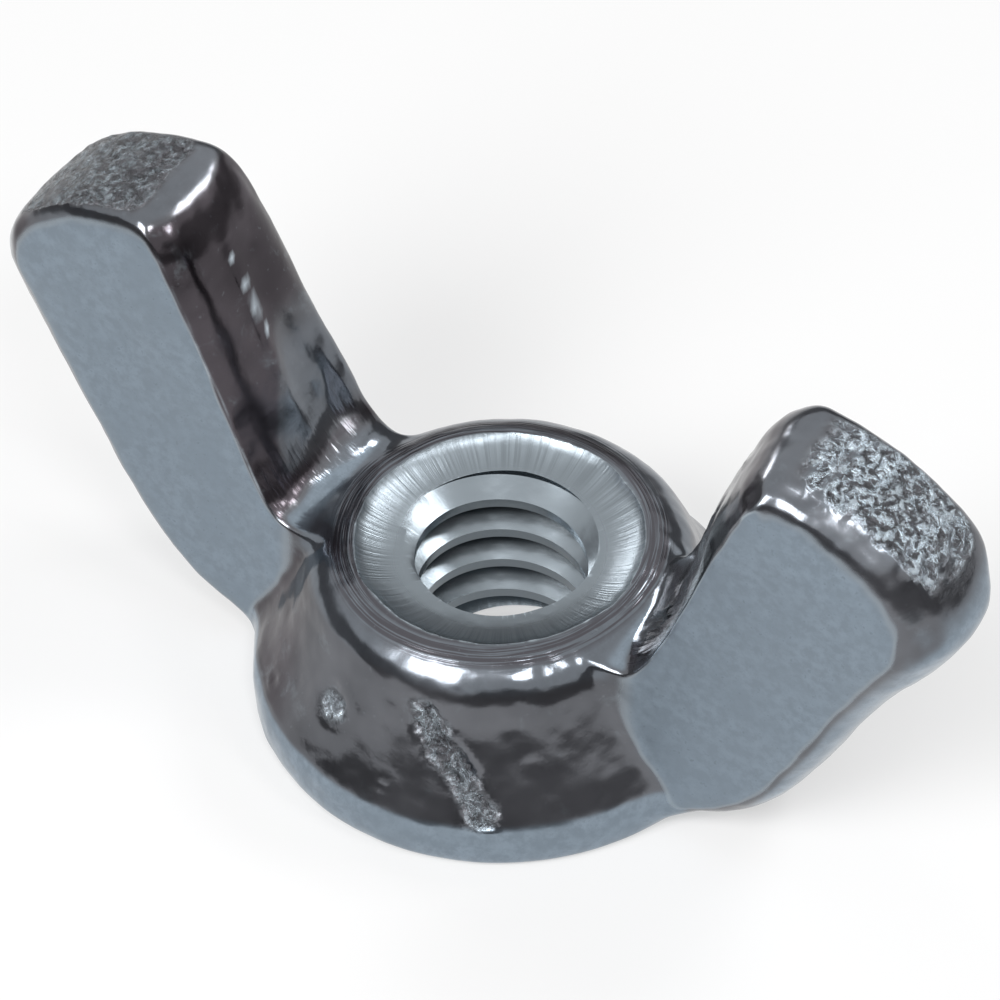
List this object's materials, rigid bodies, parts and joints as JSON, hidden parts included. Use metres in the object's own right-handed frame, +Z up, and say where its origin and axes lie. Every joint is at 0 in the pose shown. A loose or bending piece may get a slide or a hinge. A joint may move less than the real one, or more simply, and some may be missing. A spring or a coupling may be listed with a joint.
{
  "type": "wing nut",
  "caption": "Forged wing nut with a conical hub, a threaded through bore with a countersunk mouth, and an upright leaning wing on each side.",
  "frame": {"origin": "centre of the thread axis on the flat base face", "axes": "+Z up the thread axis towards the wing tips, +X through one wing, Y across the wings' thickness"},
  "size_m": [0.032, 0.0148, 0.0152],
  "materials": {
    "zinc_plate": "bright clear zinc plate over cold-forged steel, satin on the wing faces, glossy on the turned and rounded faces, rough and pitted on the sheared end caps"
  },
  "bodies": {
    "root": {"wing_nut": "zinc_plate"}
  },
  "joints": []
}
